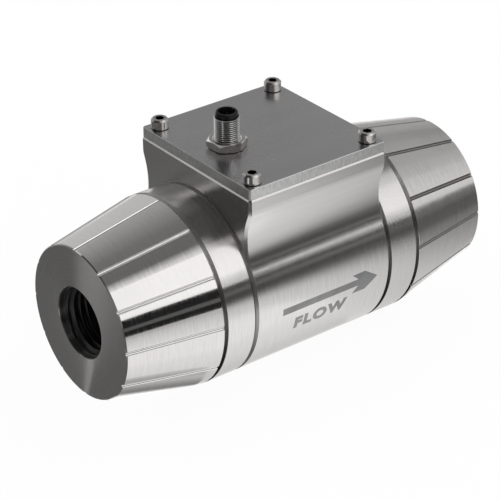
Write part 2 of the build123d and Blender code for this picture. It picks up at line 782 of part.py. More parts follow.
# Long screws through plate and block into the outlet plate
with BuildPart() as cartridge_screws:
    with BuildSketch(along_flow(inlet_plate_x)):
        with GridLocations(2 * cartridge_screw_y, 2 * cartridge_screw_z, 2, 2):
            Circle(cartridge_head_r)
    extrude(amount=cartridge_head_h)
    with BuildSketch(along_flow(inlet_plate_x + cartridge_head_h)):
        with GridLocations(2 * cartridge_screw_y, 2 * cartridge_screw_z, 2, 2):
            Circle(cartridge_screw_r)
    extrude(amount=cartridge_screw_len)
    with BuildSketch(along_flow(inlet_plate_x)):
        with GridLocations(2 * cartridge_screw_y, 2 * cartridge_screw_z, 2, 2):
            RegularPolygon(cartridge_screw_key / 2, 6, major_radius=False)
    extrude(amount=cartridge_head_h / 2, mode=Mode.SUBTRACT)
save(cartridge_screws, "cartridge_screws")

# Dowels across both joint faces of the block
with BuildPart() as dowel_pins:
    for joint_x in (block_x, outlet_plate_x):
        with BuildSketch(along_flow(joint_x - dowel_len / 2)):
            with GridLocations(2 * dowel_y, 0, 2, 1):
                Circle(dowel_r)
        extrude(amount=dowel_len)
save(dowel_pins, "dowel_pins")


def rotor_points(lobe_angle):
    """Flank points of one rotor: lobes and valleys traced by one circle that rolls outside and inside the
    pitch circle, each moved mesh_gap into the metal. The first lobe is centred on lobe_angle."""
    steps = 8
    points = []
    for k in range(rotor_lobes):
        for outside, start in ((True, -0.25), (False, 0.25)):
            first = lobe_angle + tau * (k + start) / rotor_lobes
            for j in range(steps):
                roll = tau * j / steps
                at = first + roll * rotor_roll_r / rotor_pitch_r
                contact = Vector(cos(at), sin(at)) * rotor_pitch_r
                if outside:
                    centre = Vector(cos(at), sin(at)) * (rotor_pitch_r + rotor_roll_r)
                    point = centre - Vector(cos(at + roll), sin(at + roll)) * rotor_roll_r
                    into_metal = contact - point
                else:
                    centre = Vector(cos(at), sin(at)) * (rotor_pitch_r - rotor_roll_r)
                    point = centre + Vector(cos(at - roll), sin(at - roll)) * rotor_roll_r
                    into_metal = point - contact
                if j == 0:
                    turn = 1 if outside else -1
                    into_metal = Vector(-sin(at), cos(at)) * turn
                points.append(point + into_metal.normalized() * mesh_gap)
    return points


def rotor(axis_z, lobe_angle, twist):
    """One screw rotor on its axis, with its shaft ends, journals and clip grooves."""
    with BuildSketch(along_flow(rotor_x)) as section:
        with BuildLine():
            flank = [p + Vector(0, axis_z) for p in rotor_points(lobe_angle)]
            Spline(*flank, periodic=True)
        make_face()
    screw = Solid.extrude_linear_with_rotation(
        section.sketch.faces()[0], (rotor_x, 0, axis_z), (rotor_len, 0, 0), twist
    )
    rotor_end_x = rotor_x + rotor_len
    inlet_shoulder_x = inlet_bearing_x + bearing_w
    clip_places = (inlet_bearing_x - clip_t - part_gap, outlet_bearing_x + bearing_w)
    with BuildPart() as screw_rotor:
        add(screw)
        for face_x, length in (
            (rotor_x, inlet_shoulder_x - rotor_x),
            (rotor_end_x, outlet_bearing_x - rotor_end_x),
        ):
            with BuildSketch(along_flow(face_x)):
                with Locations((0, axis_z)):
                    Circle(shaft_r)
            extrude(amount=length)
        for shoulder_x, way in ((inlet_shoulder_x, -1), (outlet_bearing_x, 1)):
            with BuildSketch(along_flow(shoulder_x)):
                with Locations((0, axis_z)):
                    Circle(journal_r)
            extrude(amount=way * (bearing_w + clip_t + journal_end_len))
        for clip_x in clip_places:
            with BuildSketch(along_flow(clip_x)):
                with Locations((0, axis_z)):
                    Circle(journal_r)
                    Circle(journal_r - clip_groove_depth, mode=Mode.SUBTRACT)
            extrude(amount=clip_t + part_gap, mode=Mode.SUBTRACT)
    return screw_rotor


lobe_pitch = tau / rotor_lobes
save(rotor(main_axis_z, -pi / 2, rotor_twist), "main_rotor")
save(rotor(side_axis_z, pi / 2 + lobe_pitch / 2, -rotor_twist), "side_rotor")

# Pole wheel on the main rotor's shaft, its hub against the rotor's end
with BuildPart() as pole_wheel:
    with BuildSketch(along_flow(rotor_x + rotor_len)):
        with Locations((0, main_axis_z)):
            Circle(wheel_hub_r)
    extrude(amount=wheel_hub_t)
    with BuildSketch(along_flow(wheel_x)):
        with Locations((0, main_axis_z)):
            Circle(wheel_root_r)
            with PolarLocations((wheel_r + wheel_root_r) / 2, wheel_teeth):
                Rectangle(wheel_r - wheel_root_r + cutter_reach, wheel_tooth_w)
            Circle(wheel_r, mode=Mode.INTERSECT)
    extrude(amount=wheel_disc_t)
    with BuildSketch(along_flow(rotor_x + rotor_len)):
        with Locations((0, main_axis_z)):
            Circle(shaft_r + part_gap)
    extrude(amount=wheel_hub_t, mode=Mode.SUBTRACT)
save(pole_wheel, "pole_wheel")


def ring(x, axis_z, inside_r, outside_r, width, groove_r):
    """A ring turned about a shaft axis, with a ball groove where it crosses the ball circle."""
    middle = x + bearing_w / 2
    with BuildPart() as turned:
        with BuildSketch(Plane.XZ):
            with Locations((middle, axis_z + (inside_r + outside_r) / 2)):
                Rectangle(width, outside_r - inside_r)
            with Locations((middle, axis_z + ball_circle_r)):
                Circle(groove_r, mode=Mode.SUBTRACT)
        revolve(axis=Axis((0, 0, axis_z), (1, 0, 0)))
    return turned


def ball_places(x, axis_z):
    """Centres of the balls of the bearing that starts at x."""
    return [
        (
            x + bearing_w / 2,
            ball_circle_r * sin(tau * k / ball_count),
            axis_z + ball_circle_r * cos(tau * k / ball_count),
        )
        for k in range(ball_count)
    ]


def balls(x, axis_z):
    """The balls of one bearing."""
    with BuildPart() as set_of_balls:
        with Locations(ball_places(x, axis_z)):
            Sphere(ball_r)
    return set_of_balls


def cage(x, axis_z):
    """The cage of one bearing: a band with a round pocket for each ball."""
    with BuildPart() as band:
        with BuildSketch(along_flow(x + (bearing_w - cage_w) / 2)):
            with Locations((0, axis_z)):
                Circle(ball_circle_r + cage_t / 2)
                Circle(ball_circle_r - cage_t / 2, mode=Mode.SUBTRACT)
        extrude(amount=cage_w)
        with Locations(ball_places(x, axis_z)):
            Sphere(ball_r + cage_gap, mode=Mode.SUBTRACT)
    return band


def shaft_clips(axis_z):
    """The two open retaining rings of one rotor, in its journal grooves."""
    opening = clip_opening * pi / 360
    with BuildPart() as clips:
        for clip_x in (inlet_bearing_x - clip_t, outlet_bearing_x + bearing_w):
            with BuildSketch(along_flow(clip_x)):
                with Locations((0, axis_z)):
                    Circle(clip_r)
                    Circle(journal_r - clip_groove_depth + part_gap, mode=Mode.SUBTRACT)
                    with Locations((0, -clip_r)):
                        Rectangle(2 * clip_r * sin(opening), 2 * clip_r, mode=Mode.SUBTRACT)
            extrude(amount=clip_t)
    return clips


race_r = ball_r + running_gap
for rotor_name, axis_z in (("main", main_axis_z), ("side", side_axis_z)):
    save(shaft_clips(axis_z), f"{rotor_name}_shaft_clips")
    for end_name, x in (("inlet", inlet_bearing_x), ("outlet", outlet_bearing_x)):
        name = f"{rotor_name}_{end_name}"
        inner = ring(x, axis_z, journal_r + part_gap, inner_land_r, bearing_w, race_r)
        outer = ring(x, axis_z, outer_land_r, bearing_r, bearing_w, race_r)
        save(inner, f"{name}_inner_ring")
        save(outer, f"{name}_outer_ring")
        save(balls(x, axis_z), f"{name}_balls")
        save(cage(x, axis_z), f"{name}_cage")
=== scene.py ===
import json
import math
import bpy
from mathutils import Matrix, Vector


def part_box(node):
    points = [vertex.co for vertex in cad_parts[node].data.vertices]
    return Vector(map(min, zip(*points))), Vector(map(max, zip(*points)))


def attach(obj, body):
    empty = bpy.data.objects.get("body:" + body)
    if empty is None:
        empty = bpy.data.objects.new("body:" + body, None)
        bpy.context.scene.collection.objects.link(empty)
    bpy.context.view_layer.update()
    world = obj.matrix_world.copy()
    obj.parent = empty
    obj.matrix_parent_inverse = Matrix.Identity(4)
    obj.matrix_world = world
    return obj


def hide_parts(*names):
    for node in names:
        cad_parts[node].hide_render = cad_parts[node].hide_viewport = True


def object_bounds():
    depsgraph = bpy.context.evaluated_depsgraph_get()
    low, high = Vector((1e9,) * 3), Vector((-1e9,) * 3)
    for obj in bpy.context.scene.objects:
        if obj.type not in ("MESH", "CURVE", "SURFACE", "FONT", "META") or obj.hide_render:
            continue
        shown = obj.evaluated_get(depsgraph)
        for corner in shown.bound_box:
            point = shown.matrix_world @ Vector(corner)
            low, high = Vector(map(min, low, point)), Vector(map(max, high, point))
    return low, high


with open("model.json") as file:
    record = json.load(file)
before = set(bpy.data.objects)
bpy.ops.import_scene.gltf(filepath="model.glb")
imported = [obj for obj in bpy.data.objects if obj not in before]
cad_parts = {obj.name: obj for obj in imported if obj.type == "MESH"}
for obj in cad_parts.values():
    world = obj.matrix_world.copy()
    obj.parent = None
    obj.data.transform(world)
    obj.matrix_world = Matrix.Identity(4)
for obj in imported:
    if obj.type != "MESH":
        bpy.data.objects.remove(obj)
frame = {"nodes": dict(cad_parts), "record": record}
nodes = frame["nodes"]
cadLow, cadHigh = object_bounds()
mm = 0.001
print("frame loaded,", len(nodes), "nodes")

# the photograph's own camera, fitted to the edges that it shows
view = {
    "place": (-0.443237, -0.708688, 0.507407),
    "right": (0.79212229, -0.61032017, -0.00718169),
    "up": (0.30520404, 0.38587372, 0.87060437),
    "back": (-0.52857618, -0.69181700, 0.49193136),
    "lens": 154.07,      # for a picture plane 36 mm wide
    "shiftX": -0.001,
    "shiftY": 0.001,
}


def addObject(name, data):
    thing = bpy.data.objects.new(name, data)
    bpy.context.scene.collection.objects.link(thing)
    return thing


def placeCamera():
    camera = addObject("meterCamera", bpy.data.cameras.new("meterCamera"))
    camera.data.lens = view["lens"]
    camera.data.sensor_width = 36
    camera.data.shift_x, camera.data.shift_y = view["shiftX"], view["shiftY"]
    camera.data.clip_start, camera.data.clip_end = 0.05, 20
    columns = [Vector(view[k]) for k in ("right", "up", "back")]
    turn = Matrix(columns).transposed().to_4x4()
    camera.matrix_world = Matrix.Translation(view["place"]) @ turn
    bpy.context.scene.camera = camera


placeCamera()
bpy.context.scene.view_settings.view_transform = "Standard"
print("camera placed")


def freshStart():
    if bpy.context.mode != "OBJECT":
        bpy.ops.object.mode_set(mode="OBJECT")
    bpy.ops.object.select_all(action="DESELECT")


def pick(piece, *others):
    freshStart()
    for one in (piece, *others):
        one.select_set(True)
    bpy.context.view_layer.objects.active = piece


def editWhole(piece):
    pick(piece)
    bpy.ops.object.mode_set(mode="EDIT")
    bpy.ops.mesh.select_all(action="SELECT")


def drawLine(name, points, closed=False):
    # one vertex, pushed from point to point as by hand
    freshStart()
    bpy.ops.mesh.primitive_plane_add(size=0.001, location=(0, 0, 0))
    piece = bpy.context.object
    piece.name = piece.data.name = name
    bpy.ops.object.mode_set(mode="EDIT")
    bpy.ops.mesh.select_all(action="SELECT")
    bpy.ops.mesh.merge(type="CENTER")
    bpy.ops.transform.translate(value=Vector(points[0]))
    for a, b in zip(points, points[1:]):
        step = Vector(b) - Vector(a)
        bpy.ops.mesh.extrude_region_move(TRANSFORM_OT_translate={"value": step})
    if closed:
        step = Vector(points[0]) - Vector(points[-1])
        bpy.ops.mesh.select_all(action="DESELECT")
        bpy.ops.object.mode_set(mode="OBJECT")
        piece.data.vertices[len(points) - 1].select = True
        bpy.ops.object.mode_set(mode="EDIT")
        bpy.ops.mesh.extrude_region_move(TRANSFORM_OT_translate={"value": step})
        bpy.ops.mesh.select_all(action="SELECT")
        bpy.ops.mesh.remove_doubles(threshold=1e-6)
    bpy.ops.object.mode_set(mode="OBJECT")
    return piece


def mendNormals(piece):
    editWhole(piece)
    bpy.ops.mesh.remove_doubles(threshold=1e-6)
    bpy.ops.mesh.normals_make_consistent(inside=False)
    bpy.ops.object.mode_set(mode="OBJECT")


def spinRound(piece, centre, axis, steps):
    editWhole(piece)
    bpy.ops.mesh.spin(steps=steps, angle=math.tau, center=centre, axis=axis)
    mendNormals(piece)


def screwAlong(piece, axis, pitch, turns, steps):
    pick(piece)
    screw = piece.modifiers.new("screw", "SCREW")
    screw.axis = axis
    screw.angle = math.tau
    screw.screw_offset = pitch
    screw.iterations = turns
    screw.steps = screw.render_steps = steps
    screw.use_merge_vertices = False
    bpy.ops.object.modifier_apply(modifier=screw.name)


def smoothPiece(piece, degrees):
    pick(piece)
    bpy.ops.object.shade_smooth_by_angle(angle=math.radians(degrees))


def joinPieces(first, *rest):
    pick(first, *rest)
    bpy.ops.object.join()
    return first


def moveMesh(piece, matrix):
    piece.data.transform(matrix)
    piece.data.update()


# sizes in mm
portThread = {
    "boreR": 16.5,
    "crestR": 14.85,
    "pitch": 3.5,
    "crestFlat": 0.8,
    "rootGap": 0.6,      # bore left bare between two turns
    "sunk": 0.01,        # how far the thread's foot goes into the bore
    "start": 3.02,
    "leadR": 16.9,       # lead-in chamfer's radius where the thread starts
    "turns": 5,
    "fade": 0.55,        # at the bottom the thread sinks away, this far for each mm along,
    "fadeTurn": 0.25,    # over the last share of a turn
    "steps": 144,
}


def cutPortThread():
    p = portThread
    footR = p["boreR"] + p["sunk"]
    flank = (p["pitch"] - p["crestFlat"] - p["rootGap"]) / 2
    outline = [(0, footR), (flank, p["crestR"]),
               (flank + p["crestFlat"], p["crestR"]), (2 * flank + p["crestFlat"], footR)]
    piece = drawLine("inletPortThread", [(x * mm, 0, r * mm) for x, r in outline])
    moveMesh(piece, Matrix.Translation(((p["start"] - p["pitch"]) * mm, 0, 0)))
    screwAlong(piece, "X", p["pitch"] * mm, p["turns"] + 1, p["steps"])
    last = (p["start"] + (p["turns"] - p["fadeTurn"]) * p["pitch"]) * mm
    for v in piece.data.vertices:
        r = math.hypot(v.co.y, v.co.z)
        leadIn = (p["leadR"] + p["start"]) * mm - v.co.x         # 45 degree cone at the mouth
        runOut = p["crestR"] * mm + max(0, v.co.x - last) * p["fade"]
        wanted = min(max(r, leadIn, runOut), footR * mm)
        v.co.y *= wanted / r
        v.co.z *= wanted / r
        v.co.x = max(v.co.x, p["start"] * mm)
    mendNormals(piece)
    smoothPiece(piece, 30)
    return piece


inletThread = cutPortThread()
outletThread = addObject("outletPortThread", inletThread.data.copy())
outletThread.data.name = outletThread.name
middle = (cadLow.x + cadHigh.x) / 2
moveMesh(outletThread, Matrix.Translation((2 * middle, 0, 0)) @ Matrix.Rotation(math.pi, 4, "Z"))
print("port threads cut")

barrel = {
    "crestR": 6.0,
    "rootR": 5.45,
    "boreR": 5.25,
    "pitch": 1.0,
    "ridge": (0, 0.36, 0.52, 0.88),    # along the thread: the ridge's foot, the crest's two edges, the foot again
    "sunk": 0.02,                      # how far the ridge goes into the core
    "flangeR": 7.7,
    "flangeT": 3.0,
    "edgeBreak": 0.05,
    "topChamfer": 0.5,
    "steps": 72,
}


def turnBarrel():
    b = barrel
    low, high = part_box("connector_shell")
    cx, cy = (low.x + high.x) / 2, (low.y + high.y) / 2
    b["centre"] = (cx, cy)
    z0, z1 = low.z, high.z
    flangeTop = z0 + b["flangeT"] * mm
    ring = [(b["boreR"], z0), (b["flangeR"], z0), (b["flangeR"], flangeTop), (b["rootR"], flangeTop),
            (b["rootR"], z1), (b["boreR"] + b["edgeBreak"], z1), (b["boreR"], z1 - b["edgeBreak"] * mm)]
    core = drawLine("connectorBarrel", [(cx + r * mm, cy, z) for r, z in ring], closed=True)
    spinRound(core, (cx, cy, 0), (0, 0, 1), b["steps"])
    start = flangeTop + b["edgeBreak"] * mm
    height = z1 - start
    turns = int(height / (b["pitch"] * mm)) + 1
    footR = b["rootR"] - b["sunk"]
    radii = (footR, b["crestR"], b["crestR"], footR)
    ridge = drawLine("barrelRidge", [(r * mm, 0, z * mm) for r, z in zip(radii, b["ridge"])])
    screwAlong(ridge, "Z", b["pitch"] * mm, turns, b["steps"])
    for v in ridge.data.vertices:
        r = math.hypot(v.co.x, v.co.y)
        top = (b["crestR"] - b["topChamfer"]) * mm + max(0, height - v.co.z)   # chamfer at the mouth
        wanted = min(r, max(top, footR * mm))
        v.co.x *= wanted / r
        v.co.y *= wanted / r
        v.co.z = min(v.co.z, height)
    moveMesh(ridge, Matrix.Translation((cx, cy, start)))
    piece = joinPieces(core, ridge)
    smoothPiece(piece, 25)
    return piece


connectorBarrel = turnBarrel()
print("connector barrel turned")

# the flow arrow and its word: X along the flow from the middle, Y round the barrel from its nearest line
marks = {
    "bodyR": 47.0,
    "lift": 0.025,       # so that the mark lies on the barrel
    "arrow": [(-24.8, -1.15), (20.4, -1.15), (16.8, 1.9), (24.4, 2.1), (32.0, -2.94),
              (24.6, -8.1), (17.0, -8.05), (20.4, -4.6), (-24.8, -4.6)],
    "word": "FLOW",
    "wordLeft": -17.2,
    "wordRight": 14.3,
    "wordTop": -8.8,
    "wordFoot": -15.7,
    "letterSize": 10,
    "letterWeight": 0.55,
    "letterGap": 1.22,
    "slant": 0.04,
    "stripe": 0.8,       # strips that the flat mark is cut into before it is wrapped
}


def flatMesh(name, data):
    data.fill_mode = "BOTH"
    pick(addObject(name, data))
    bpy.ops.object.convert(target="MESH")
    return bpy.context.object


def wrapOnBody(piece):
    # cut into thin strips along the flow, then laid round the barrel
    ys = [v.co.y for v in piece.data.vertices]
    editWhole(piece)
    level = min(ys) + marks["stripe"] * mm
    while level < max(ys):
        bpy.ops.mesh.select_all(action="SELECT")
        bpy.ops.mesh.bisect(plane_co=(0, level, 0), plane_no=(0, 1, 0))
        level += marks["stripe"] * mm
    bpy.ops.mesh.select_all(action="SELECT")
    bpy.ops.mesh.remove_doubles(threshold=1e-7)
    bpy.ops.object.mode_set(mode="OBJECT")
    radius = (marks["bodyR"] + marks["lift"]) * mm
    for v in piece.data.vertices:
        angle = v.co.y / (marks["bodyR"] * mm)
        v.co = (v.co.x + middle, -radius * math.cos(angle), radius * math.sin(angle))
    if sum(face.normal.y * face.area for face in piece.data.polygons) > 0:
        # the mark looks into the barrel, so it is turned over
        editWhole(piece)
        bpy.ops.mesh.flip_normals()
        bpy.ops.object.mode_set(mode="OBJECT")
    smoothPiece(piece, 30)
    return piece


def etchArrow():
    data = bpy.data.curves.new("flowArrow", "CURVE")
    data.dimensions = "2D"
    spline = data.splines.new("POLY")
    spline.points.add(len(marks["arrow"]) - 1)
    for point, (x, y) in zip(spline.points, marks["arrow"]):
        point.co = (x * mm, y * mm, 0, 1)
    spline.use_cyclic_u = True
    return wrapOnBody(flatMesh("flowArrow", data))


def etchWord():
    data = bpy.data.curves.new("flowWord", "FONT")
    data.body = marks["word"]
    data.size = marks["letterSize"] * mm
    data.shear = marks["slant"]
    data.offset = marks["letterWeight"] * mm
    data.space_character = marks["letterGap"]
    flat = flatMesh("flowWord", data)
    xs = [v.co.x for v in flat.data.vertices]
    ys = [v.co.y for v in flat.data.vertices]
    wide = (marks["wordRight"] - marks["wordLeft"]) * mm / (max(xs) - min(xs))
    tall = (marks["wordTop"] - marks["wordFoot"]) * mm / (max(ys) - min(ys))
    for v in flat.data.vertices:
        v.co.x = (v.co.x - min(xs)) * wide + marks["wordLeft"] * mm
        v.co.y = (v.co.y - min(ys)) * tall + marks["wordFoot"] * mm
        v.co.z = 0
    return wrapOnBody(flat)


flowArrow = etchArrow()
flowWord = etchWord()
print("arrow and word etched")


def addNode(tree, kind, **values):
    node = tree.nodes.new(kind)
    for key, value in values.items():
        if hasattr(node, key):
            setattr(node, key, value)
        else:
            node.inputs[key.replace("_", " ")].default_value = value
    return node


def wire(tree, start, end):
    tree.links.new(start, end)


def feed(tree, value, socket):
    # another node's output is wired in, anything else becomes the socket's own value
    if isinstance(value, bpy.types.NodeSocket):
        wire(tree, value, socket)
    else:
        socket.default_value = value


def newMaterial(name):
    material = bpy.data.materials.new(name)
    material.use_nodes = True
    return material, material.node_tree


def newGroup(name, inputs, outputs):
    tree = bpy.data.node_groups.new(name, "ShaderNodeTree")
    for label, kind, value in inputs:
        socket = tree.interface.new_socket(name=label, in_out="INPUT", socket_type=kind)
        if value is not None:
            socket.default_value = value
    for label in outputs:
        tree.interface.new_socket(name=label, in_out="OUTPUT", socket_type="NodeSocketFloat")
    return tree, tree.nodes.new("NodeGroupInput"), tree.nodes.new("NodeGroupOutput")


def mathNode(tree, operation, *values):
    node = addNode(tree, "ShaderNodeMath", operation=operation)
    for socket, value in zip(node.inputs, values):
        feed(tree, value, socket)
    return node.outputs[0]


def plus(tree, a, b):
    return mathNode(tree, "ADD", a, b)


def minus(tree, a, b):
    return mathNode(tree, "SUBTRACT", a, b)


def times(tree, a, b):
    return mathNode(tree, "MULTIPLY", a, b)


def over(tree, a, b):
    return mathNode(tree, "GREATER_THAN", a, b)


def under(tree, a, b):
    return mathNode(tree, "LESS_THAN", a, b)


def larger(tree, a, b):
    return mathNode(tree, "MAXIMUM", a, b)


def vectorNode(tree, operation, *values):
    node = addNode(tree, "ShaderNodeVectorMath", operation=operation)
    for socket, value in zip(node.inputs, values):
        feed(tree, value, socket)
    return node.outputs["Value" if operation == "LENGTH" else "Vector"]


def vectorOf(tree, *parts):
    node = addNode(tree, "ShaderNodeCombineXYZ")
    for socket, value in zip(node.inputs, parts):
        feed(tree, value, socket)
    return node.outputs[0]


def axesOf(tree, vector):
    node = addNode(tree, "ShaderNodeSeparateXYZ")
    wire(tree, vector, node.inputs[0])
    return [node.outputs[k] for k in "XYZ"]


def radiusOf(tree, a, b):
    return mathNode(tree, "SQRT", plus(tree, times(tree, a, a), times(tree, b, b)))


def distanceRound(tree, point, centre):
    # how far a point is from an upright axis
    away = vectorNode(tree, "SUBTRACT", point, (*centre, 0))
    return vectorNode(tree, "LENGTH", vectorNode(tree, "MULTIPLY", away, (1, 1, 0)))


def leanTo(tree, axis):
    # 1 where a face looks along the axis, 0 where it runs beside it
    geometry = addNode(tree, "ShaderNodeNewGeometry")
    normal = axesOf(tree, geometry.outputs["True Normal"])
    return mathNode(tree, "ABSOLUTE", normal["XYZ".index(axis)])


def noiseOf(tree, vector, **values):
    noise = addNode(tree, "ShaderNodeTexNoise", **values)
    wire(tree, vector, noise.inputs["Vector"])
    return noise.outputs["Fac"]


def shareOf(tree, value, low, high):
    # 0 up to low, 1 from high on
    node = addNode(tree, "ShaderNodeMapRange", From_Min=low, From_Max=high)
    wire(tree, value, node.inputs["Value"])
    return node.outputs["Result"]


def rampValue(tree, mask, low, high):
    node = addNode(tree, "ShaderNodeMapRange", To_Min=low, To_Max=high)
    wire(tree, mask, node.inputs["Value"])
    return node.outputs["Result"]


def mixVector(tree, mask, low, high):
    # the node's sockets for vectors are its fifth and sixth
    mix = addNode(tree, "ShaderNodeMix", data_type="VECTOR")
    for place, value in ((0, mask), (4, low), (5, high)):
        feed(tree, value, mix.inputs[place])
    return mix.outputs[1]


def mixColour(tree, mask, low, high):
    mix = addNode(tree, "ShaderNodeMix", data_type="RGBA")
    wire(tree, mask, mix.inputs["Factor"])
    for label, tone in (("A", low), ("B", high)):
        isSocket = isinstance(tone, bpy.types.NodeSocket)
        feed(tree, tone if isSocket else (*tone, 1), mix.inputs[label])
    return mix.outputs["Result"]


def shades(tone, low, high):
    # a darker and a lighter shade of one colour
    return [c * low for c in tone], [min(1, c * high) for c in tone]


# tool marks: radius in metres, the rest in marks per metre or as a share of 1
lathe = {
    "turnedR": 0.0472,      # nearer the flow axis than this the piece is turned, beyond it milled
    "faceLean": 0.6,        # a face that leans over further than this is an end face
    "roundRing": 90.0,      # along a turned ring
    "alongMill": 40.0,      # along and across a milled line
    "acrossMill": 200.0,
    "millCoarse": 0.6,      # a milled face's marks beside a turned one's: how many, how strong
    "millSwing": 0.3,
    "coarseShare": 0.55,
    "contrast": (0.32, 0.68),
}


def latheGroup():
    # rings round the flow axis where the piece is turned, lines along X where it is milled
    tree, given, made = newGroup(
        "latheMarks",
        [("Position", "NodeSocketVector", None), ("Facing", "NodeSocketFloat", 0.0),
         ("Coarse", "NodeSocketFloat", 1500.0), ("Fine", "NodeSocketFloat", 4200.0)],
        ["Height", "Tone"])
    x, y, z = axesOf(tree, given.outputs["Position"])
    radius = radiusOf(tree, y, z)
    isFace = over(tree, given.outputs["Facing"], lathe["faceLean"])
    isTurned = under(tree, radius, lathe["turnedR"])
    along = plus(tree, times(tree, radius, isFace), times(tree, x, minus(tree, 1.0, isFace)))
    swing = plus(tree, lathe["millSwing"], times(tree, isTurned, 1 - lathe["millSwing"]))
    fields = []
    for key, detail in (("Coarse", 2.0), ("Fine", 1.0)):
        many = given.outputs[key]
        turned = vectorOf(tree, times(tree, along, many),
                          times(tree, y, lathe["roundRing"]), times(tree, z, lathe["roundRing"]))
        milled = vectorOf(tree, times(tree, x, lathe["alongMill"]), times(tree, y, lathe["acrossMill"]),
                          times(tree, z, times(tree, many, lathe["millCoarse"])))
        place = mixVector(tree, isTurned, milled, turned)
        noise = noiseOf(tree, place, Scale=1.0, Detail=detail, Roughness=0.6)
        spread = shareOf(tree, noise, *lathe["contrast"])
        fields.append(plus(tree, times(tree, minus(tree, spread, 0.5), swing), 0.5))
    coarse, fine = fields
    total = plus(tree, times(tree, coarse, lathe["coarseShare"]), times(tree, fine, 1 - lathe["coarseShare"]))
    wire(tree, total, made.inputs["Height"])
    wire(tree, coarse, made.inputs["Tone"])
    return tree


# where the recesses of a turned piece are, in metres, along X from the nearer port's face
recess = {
    "bandAt": 0.04733,      # the cone ends here and the plain band begins
    "grooveR": 0.04694,     # deeper than this behind the cone is a groove or a chamfer
    "portR": 0.0180,
    "faceSkin": 0.00005,    # thickness of the port's face, which isn't in the port
    "coneR": 0.03745,       # the cone at its face and its slope, less a slot's edge
    "coneSlope": 0.1983,
    "slotFloorR": 0.035,
    "slotAt": 0.0007,
}


def recessGroup():
    # masks by place: grooves, chamfers and ports; the cones' slots; the plain bands behind the cones
    r = recess
    tree, given, made = newGroup(
        "recesses",
        [("Position", "NodeSocketVector", None), ("Reach", "NodeSocketFloat", 0.0661)],
        ["Groove", "Port", "Slot", "Band"])
    x, y, z = axesOf(tree, given.outputs["Position"])
    radius = radiusOf(tree, y, z)
    fromEnd = mathNode(tree, "MINIMUM", minus(tree, x, cadLow.x), minus(tree, cadHigh.x, x))
    behind = over(tree, fromEnd, r["bandAt"])
    within = times(tree, behind, under(tree, fromEnd, given.outputs["Reach"]))
    coneR = plus(tree, times(tree, fromEnd, r["coneSlope"]), r["coneR"])
    inSlot = times(tree, under(tree, radius, coneR), over(tree, radius, r["slotFloorR"]))
    onCone = times(tree, over(tree, fromEnd, r["slotAt"]), minus(tree, 1.0, behind))
    masks = {
        "Groove": times(tree, under(tree, radius, r["grooveR"]), within),
        "Port": times(tree, under(tree, radius, r["portR"]), over(tree, fromEnd, r["faceSkin"])),
        "Slot": times(tree, inSlot, onCone),
        "Band": behind,
    }
    for label, mask in masks.items():
        wire(tree, mask, made.inputs[label])
    return tree


def grainGroup():
    # straight grinding lines: long along one axis of the piece, short across it
    tree, given, made = newGroup(
        "groundGrain",
        [("Position", "NodeSocketVector", None), ("Stretch", "NodeSocketVector", (40.0, 1500.0, 1500.0))],
        ["Height", "Tone"])
    scaled = vectorNode(tree, "MULTIPLY", given.outputs["Position"], given.outputs["Stretch"])
    fine = noiseOf(tree, scaled, Scale=1.0, Detail=3.0, Roughness=0.65)
    broad = noiseOf(tree, scaled, Scale=0.12, Detail=2.0, Roughness=0.5)
    wire(tree, fine, made.inputs["Height"])
    wire(tree, broad, made.inputs["Tone"])
    return tree


def smudgeGroup():
    # hand marks and faint stains: a soft mask over the whole piece
    tree, given, made = newGroup(
        "handledSurface",
        [("Position", "NodeSocketVector", None), ("Size", "NodeSocketFloat", 45.0)],
        ["Mask"])
    noise = addNode(tree, "ShaderNodeTexNoise", Detail=4.0, Roughness=0.62, Distortion=0.4)
    wire(tree, given.outputs["Position"], noise.inputs["Vector"])
    wire(tree, given.outputs["Size"], noise.inputs["Scale"])
    wire(tree, shareOf(tree, noise.outputs["Fac"], 0.38, 0.68), made.inputs["Mask"])
    return tree


groups = {"lathe": latheGroup(), "recess": recessGroup(), "grain": grainGroup(), "smudge": smudgeGroup()}


def useGroup(tree, key, **values):
    node = tree.nodes.new("ShaderNodeGroup")
    node.node_tree = groups[key]
    for label, value in values.items():
        feed(tree, value, node.inputs[label])
    return node.outputs


def startMaterial(name, metallic=1.0, anisotropy=0.0, specular=0.5, coat=0.0):
    material, tree = newMaterial(name)
    shader = tree.nodes["Principled BSDF"]
    shader.inputs["Metallic"].default_value = metallic
    shader.inputs["Anisotropic"].default_value = anisotropy
    shader.inputs["Specular IOR Level"].default_value = specular
    shader.inputs["Coat Weight"].default_value = coat
    shader.inputs["Coat Roughness"].default_value = 0.1
    where = addNode(tree, "ShaderNodeTexCoord")
    return material, tree, shader, where.outputs["Object"]


def finishShader(tree, shader, colour, roughness, height, strength, depth=0.02):
    wire(tree, colour, shader.inputs["Base Color"])
    wire(tree, roughness, shader.inputs["Roughness"])
    bump = addNode(tree, "ShaderNodeBump", Strength=strength, Distance=depth * mm)
    wire(tree, height, bump.inputs["Height"])
    wire(tree, bump.outputs["Normal"], shader.inputs["Normal"])


def smudged(tree, position, size, low, high):
    return rampValue(tree, useGroup(tree, "smudge", Position=position, Size=size)["Mask"], low, high)


